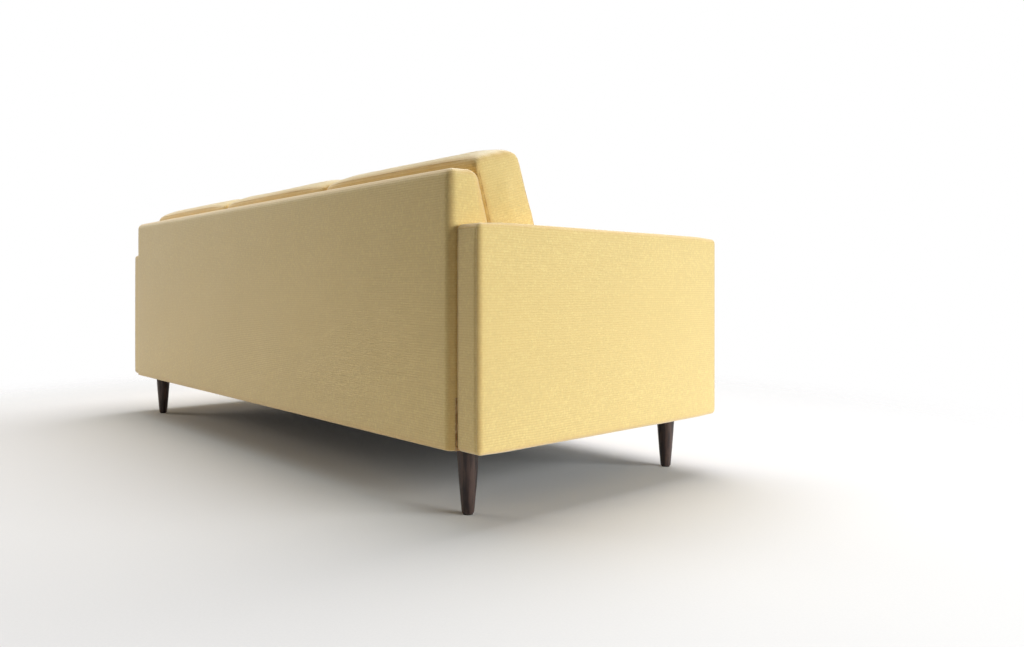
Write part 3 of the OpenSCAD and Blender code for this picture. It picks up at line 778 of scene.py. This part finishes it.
def make_dust_cover():
    """Dust cloth stapled to the underside, with a slight sag between rails."""
    low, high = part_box("dust_cover")
    points, faces = sheet_grid(low, high, 16 * MM)
    hang = border_fade(points, low, high, 0.12)
    beams = [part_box(f"leg_{e}_{s}") for e in ("front", "rear") for s in SIDES]
    for a, b in beams:
        middle = (a + b) / 2
        away = np.hypot(points[:, 0] - middle.x, points[:, 1] - middle.y)
        hang = hang * smoothstep((away - 40 * MM) / (90 * MM))
    crease = ripple(points * (0.7, 1.6, 1), 0.13, 5.0) * 0.9 * MM
    points[:, 2] = high.z - 0.2 * MM - hang * (2.0 * MM + crease)
    cloth = make_object("stapled_dust_cover", points, faces)
    solid = cloth.modifiers.new("cloth", "SOLIDIFY")
    solid.thickness = 0.9 * MM
    solid.offset = -1
    bake_modifiers(cloth)
    lay_weave(cloth)
    finish_piece(cloth, "sofa_frame", "dust_cloth", DUST, "dust_cover")


# ---------- cushions ----------

# Simulation: how far the start shape is set in, its cells, its pressure and its length
INSET = 3 * MM
VOXEL = 9 * MM
PRESSURE = 4.0
SIM_FRAMES = 20
# After it: the most that a point moves, and the share kept of the sides' pull-in
CAP = 22 * MM
PULL_KEPT = 0.3
# Depth of the foam under its cover, and the depth of the uneven fill
CORE_IN = 3 * MM
LUMPS = 2.2 * MM
TOP_LUMPS = 1.8 * MM
# Crowns: over a seat, at its front, and on the front of a back cushion
SEAT_CROWN = 14 * MM
SEAT_FRONT_CROWN = 6 * MM
BACK_CROWN = 9 * MM
# Seats are flat under the back cushions, and rise over this distance in front of them
UNDER_BACK = 22 * MM
SEAT_RISE_OVER = 90 * MM
# Back cushions stand taller in the middle, and are thinner at the top
TOP_RISE = 17 * MM
TOP_ROOM = 3 * MM
TOP_TAPER = 13 * MM
# Seams of the cushions
SEAM_R = 1.5 * MM
SEAM_SUNK = 1.0 * MM
SEAM_FROM_PANEL = 7 * MM
SEAM_BEND = 26 * MM


def cushion_core(node, name):
    """Slightly smaller closed form of a CAD cushion, remeshed in even cells."""
    bm = bmesh.new()
    for v in frame["nodes"][node].data.vertices:
        bm.verts.new(v.co)
    hull = bmesh.ops.convex_hull(bm, input=bm.verts)
    spare = [v for v in hull["geom_interior"] + hull["geom_unused"] if isinstance(v, bmesh.types.BMVert)]
    bmesh.ops.delete(bm, geom=list(set(spare)), context="VERTS")
    mesh = bpy.data.meshes.new(name)
    bm.to_mesh(mesh)
    bm.free()
    piece = bpy.data.objects.new(name, mesh)
    bpy.context.scene.collection.objects.link(piece)
    points = points_of(piece)
    low, high = points.min(0), points.max(0)
    middle = (low + high) / 2
    set_points(piece, middle + (points - middle) * (1 - 2 * INSET / (high - low)))
    remesh = piece.modifiers.new("cells", "REMESH")
    remesh.mode = "VOXEL"
    remesh.voxel_size = VOXEL
    bake_modifiers(piece)
    return piece


def soft_limit(over, most):
    """Lets a bulge grow freely at first, and levels it off at the most that it may be."""
    return most * np.tanh(np.clip(over, 0, None) / most)


def inflate(piece):
    """Swells the piece as cloth under pressure, then levels off and smooths how far it moved."""
    before = points_of(piece)
    cloth = piece.modifiers.new("cloth", "CLOTH")
    settings = cloth.settings
    settings.quality = 5
    settings.mass = 0.3
    settings.tension_stiffness = 15
    settings.compression_stiffness = 15
    settings.shear_stiffness = 5
    settings.bending_stiffness = 0.5
    settings.use_pressure = True
    settings.uniform_pressure_force = PRESSURE
    settings.effector_weights.gravity = 0
    cloth.point_cache.frame_start = 1
    cloth.point_cache.frame_end = SIM_FRAMES
    for step in range(1, SIM_FRAMES + 1):
        bpy.context.scene.frame_set(step)
    bake_modifiers(piece)
    bpy.context.scene.frame_set(1)
    move = points_of(piece) - before
    length = np.linalg.norm(move, axis=1, keepdims=True)
    move *= soft_limit(length, CAP) / np.maximum(length, 1e-9)
    # The foam inside holds the sides out: they pull in only a little between corners
    outward = before - (before.min(0) + before.max(0)) / 2
    pulled = np.einsum("ij,ij->i", move, outward) < 0
    move[pulled] *= PULL_KEPT
    set_points(piece, before + move)
    ease = piece.modifiers.new("ease", "SMOOTH")
    ease.factor = 0.5
    ease.iterations = 8
    bake_modifiers(piece)


SHAPES = {}


def cushion_shape(kind):
    if kind not in SHAPES:
        node = f"{kind}_centre"
        piece = cushion_core(node, f"{kind}_trial")
        inflate(piece)
        smooth = piece.modifiers.new("even", "SUBSURF")
        smooth.levels = 1
        bake_modifiers(piece)
        faces = [tuple(f.vertices) for f in piece.data.polygons]
        SHAPES[kind] = points_of(piece), faces
        bpy.data.objects.remove(piece)
    return SHAPES[kind]


def hold_back(points, normal, limit):
    """Flattens what stands beyond a plane that the cushion rests on."""
    normal = np.array(normal)
    over = points @ normal - limit
    return points - np.clip(over, 0, None)[:, None] * normal


def cushion_frame(kind):
    return (DECK_BACK, DECK_UP) if kind == "seat_cover" else (BACK_IN, BACK_UP)


def crown_seat(local, low, high, inward):
    """Crowns a seat cushion, but not under the back cushion. Points are across, inward and up."""
    local[:, 2] = np.maximum(local[:, 2], low[2])
    front_of_back = (np.array(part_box("back_cushion_cover_centre")[0]) @ inward) + UNDER_BACK
    room = SEAT_CROWN * smoothstep((front_of_back - local[:, 1]) / SEAT_RISE_OVER)
    over = local[:, 2] - high[2]
    local[:, 2] = np.where(over > 0, high[2] + soft_limit(over, room + 0.1 * MM), local[:, 2])
    local[:, 1] = np.maximum(local[:, 1], low[1] - SEAT_FRONT_CROWN)


def crown_back(local, low, high, share):
    """Crowns a back cushion's front and top, and thins it towards the top."""
    front = np.clip((1 - share[:, 1]) / 2, 0, 1)
    local[:, 1] += TOP_TAPER * front * smoothstep((share[:, 2] + 0.2) / 1.2)
    plump = TOP_RISE * (1 - np.clip(np.abs(share[:, 0]), 0, 1) ** 6)
    local[:, 2] += plump * smoothstep((share[:, 2] - 0.3) / 0.6)
    local[:, 2] = np.minimum(local[:, 2], high[2] + TOP_RISE + TOP_ROOM)
    over = low[1] - local[:, 1]
    local[:, 1] = np.where(over > 0, low[1] - soft_limit(over, BACK_CROWN), local[:, 1])
    local[:, 1] = np.minimum(local[:, 1], high[1])


def make_cushion(kind, place, number):
    """One loose cushion: crowned panels, slightly uneven fill, and a seam round both panels."""
    node = f"{kind}_{place}"
    body = f"{'seat' if kind == 'seat_cover' else 'back'}_cushion_{place}"
    template, faces = cushion_shape(kind)
    cad = np.array([v.co for v in frame["nodes"][node].data.vertices])
    cad_middle = np.array([v.co for v in frame["nodes"][f"{kind}_centre"].data.vertices])
    shift = (cad.min(0) + cad.max(0) - cad_middle.min(0) - cad_middle.max(0)) / 2
    points = template + shift
    inward, up = (np.array(a) for a in cushion_frame(kind))
    across = np.array(ACROSS)
    basis = np.stack([across, inward, up])
    local, box = points @ basis.T, cad @ basis.T
    low, high = box.min(0), box.max(0)
    # Uneven fill, different in each cushion
    lumps = ripple(local, 0.21, 11.0 + 7 * number) + 0.4 * ripple(local, 0.09, 5.0 + 3 * number)
    centre = (low + high) / 2
    share = (local - centre) / (high - centre)
    depth_axis = 2 if kind == "seat_cover" else 1
    face_side = np.sign(share[:, depth_axis])
    away = np.clip(1 - np.abs(share[:, 0]) ** 3, 0, 1)
    local[:, depth_axis] += lumps * LUMPS * face_side * away
    local[:, 2] += np.where(share[:, 2] > 0.6, ripple(local, 0.3, 2.0 * number) * TOP_LUMPS, 0)
    # Flat where it rests: on the deck or seat, against the back, and beside its neighbours
    gap = (1.0 if kind == "seat_cover" else 2.5) * MM
    local[:, 0] = np.clip(local[:, 0], low[0] - gap, high[0] + gap)
    local[:, 1] = np.minimum(local[:, 1], high[1])
    if kind == "seat_cover":
        crown_seat(local, low, high, inward)
    else:
        crown_back(local, low, high, share)
    points = local @ basis
    if kind != "seat_cover":
        seat = np.array([v.co for v in frame["nodes"][f"seat_cover_{place}"].data.vertices])
        floor = (seat @ np.array(DECK_UP)).max() + 1 * MM
        points = hold_back(points, -DECK_UP, -floor)
    cushion = make_object(f"soft_{node}", points, faces)
    edge = edge_share(points @ basis.T, low + 4 * MM, high - 4 * MM, 24 * MM)
    set_edge(cushion, edge)
    lay_weave(cushion, ACROSS, Vector(inward), Vector(up))
    finish_piece(cushion, body, "yellow_weave", YELLOW, node)
    core_node = node.replace("seat_cover", "seat_core").replace("back_cushion_cover", "back_core")
    core = make_object(f"foam_{core_node}", points - normals_of(cushion) * CORE_IN, faces)
    finish_piece(core, body, "foam", FOAM, core_node)
    add_seams(cushion, body, basis, low, high, depth_axis)


def add_seams(cushion, body, basis, low, high, depth_axis):
    """Sewn lips round the two panels of a cushion, laid on its surface."""
    mesh = cushion.data
    tree = BVHTree.FromPolygons([v.co for v in mesh.vertices], [f.vertices for f in mesh.polygons])
    other = 3 - depth_axis
    bend = SEAM_BEND
    depths = {"a": low[depth_axis] + SEAM_FROM_PANEL, "b": high[depth_axis] - SEAM_FROM_PANEL}
    for name, depth in depths.items():
        loop = []
        corners = [(low[0], low[other]), (high[0], low[other]), (high[0], high[other]), (low[0], high[other])]
        for i, corner in enumerate(corners):
            before = np.array(corners[i - 1]) - corner
            after = np.array(corners[(i + 1) % 4]) - corner
            before, after = before / np.linalg.norm(before), after / np.linalg.norm(after)
            centre = np.array(corner) + bend * (before + after)
            for k in range(7):
                turn = math.pi / 2 * k / 6
                out = -after * math.cos(turn) - before * math.sin(turn)
                loop.append(centre + bend * out)
            start, end = loop[-1], np.array(corners[(i + 1) % 4]) - after * bend
            steps = max(2, int(np.linalg.norm(end - start) / (12 * MM)))
            for k in range(1, steps):
                loop.append(start + (end - start) * k / steps)
        path = []
        for q in loop:
            p = np.zeros(3)
            p[0], p[other], p[depth_axis] = q[0], q[1], depth
            world = p @ basis
            spot, normal, _, _ = tree.find_nearest(Vector(world))
            path.append(np.array(spot - normal * SEAM_SUNK))
        for _ in range(3):
            path = (np.roll(path, 1, axis=0) + 2 * np.array(path) + np.roll(path, -1, axis=0)) / 4
        seam = tube(f"{cushion.name}_seam_{name}", path, SEAM_R, closed=True)
        set_edge(seam, np.zeros(len(seam.data.vertices)))
        lay_weave(seam)
        # The seam lips wear the darker copy of the weave: painted shade along the seams
        finish_piece(seam, body, "yellow_weave", SEAM_SHADED_WEAVE)


# ---------- studio ----------


def camera():
    """The view from behind the sofa's right-hand corner, at seat height and level."""
    data = bpy.data.cameras.new("camera")
    data.lens = 28.09
    data.sensor_width = 36
    data.shift_y = -0.0339
    data.clip_end = 100
    eye = bpy.data.objects.new("camera", data)
    bpy.context.scene.collection.objects.link(eye)
    eye.location = (-2.3003, 1.4277, 0.4877)
    turn = math.radians(42.1)
    facing = Vector((math.cos(turn), -math.sin(turn), 0))
    eye.rotation_euler = facing.to_track_quat("-Z", "Y").to_euler()
    bpy.context.scene.camera = eye


def lamp(name, place, target, size, power, tint):
    data = bpy.data.lights.new(name, "AREA")
    data.shape = "RECTANGLE"
    data.size, data.size_y = size
    data.energy = power
    data.color = tint
    light = bpy.data.objects.new(name, data)
    bpy.context.scene.collection.objects.link(light)
    light.location = place
    aim = Vector(target) - Vector(place)
    light.rotation_euler = aim.to_track_quat("-Z", "Y").to_euler()


def studio():
    """White surround, a low soft key at the arm's side, two lights above, and a slightly warm fill."""
    world = bpy.data.worlds.new("surround")
    bpy.context.scene.world = world
    world.use_nodes = True
    tree = world.node_tree
    shade = tree.nodes["Background"]
    shade.inputs["Color"].default_value = (1, 1, 1, 1)
    rays = tree.nodes.new("ShaderNodeLightPath")
    level = tree.nodes.new("ShaderNodeMapRange")
    tree.links.new(rays.outputs["Is Camera Ray"], level.inputs["Value"])
    level.inputs["To Min"].default_value = 0.09
    level.inputs["To Max"].default_value = 1.0
    tree.links.new(level.outputs[0], shade.inputs["Strength"])
    lamp("key", (-4.4, -1.6, 1.1), (-1.0, -0.1, 0.35), (2.6, 1.3), 140, (0.95, 1.0, 1.0))
    lamp("top", (0.3, -1.2, 4.0), (0, 0, 0), (3.4, 3.4), 162, (1.0, 0.99, 1.0))
    lamp("rear_top", (1.4, 1.0, 4.0), (0.9, 0.4, 0), (3.0, 3.0), 40, (0.9, 1.0, 1.0))
    lamp("fill", (5.2, 3.2, 1.8), (0.9, 0.4, 0.4), (2.2, 2.0), 102, (1.0, 0.9, 0.76))
    scene = bpy.context.scene
    scene.view_settings.view_transform = "Standard"
    scene.view_settings.look = "None"


def floor():
    side = 9.0
    plate = make_object(
        "floor", [(-side, -side, 0), (side, -side, 0), (side, side, 0), (-side, side, 0)], [(0, 1, 2, 3)]
    )
    g = Graph("floor", Specular_IOR_Level=0.1)
    spot = g.place()
    g.colour(g.mix(g.noise(spot, 240.0), rgb(238, 236, 236), rgb(244, 242, 242)))
    g.rough(0.9)
    away = g.node("ShaderNodeVectorMath", operation="LENGTH")
    g.tree.links.new(spot, away.inputs[0])
    clear = g.node("ShaderNodeBsdfTransparent")
    blend = g.node("ShaderNodeMixShader")
    g.put(blend.inputs[0], g.ramp(away.outputs["Value"], 1.35, 2.6))
    g.tree.links.new(g.shader.outputs[0], blend.inputs[1])
    g.tree.links.new(clear.outputs[0], blend.inputs[2])
    output = next(n for n in g.tree.nodes if n.type == "OUTPUT_MATERIAL")
    g.tree.links.new(blend.outputs[0], output.inputs["Surface"])
    plate.data.materials.append(g.material)


# ---------- the sofa ----------

camera()
studio()
floor()
paint_frame()
for leg_end in ("front", "rear"):
    for leg_side in SIDES:
        make_leg(leg_end, leg_side)
for arm_side in SIDES:
    make_arm(arm_side)
make_back()
make_front()
make_deck()
make_dust_cover()
for cushion_kind in ("seat_cover", "back_cushion_cover"):
    for cushion_number, cushion_place in enumerate(PLACES):
        make_cushion(cushion_kind, cushion_place, cushion_number)
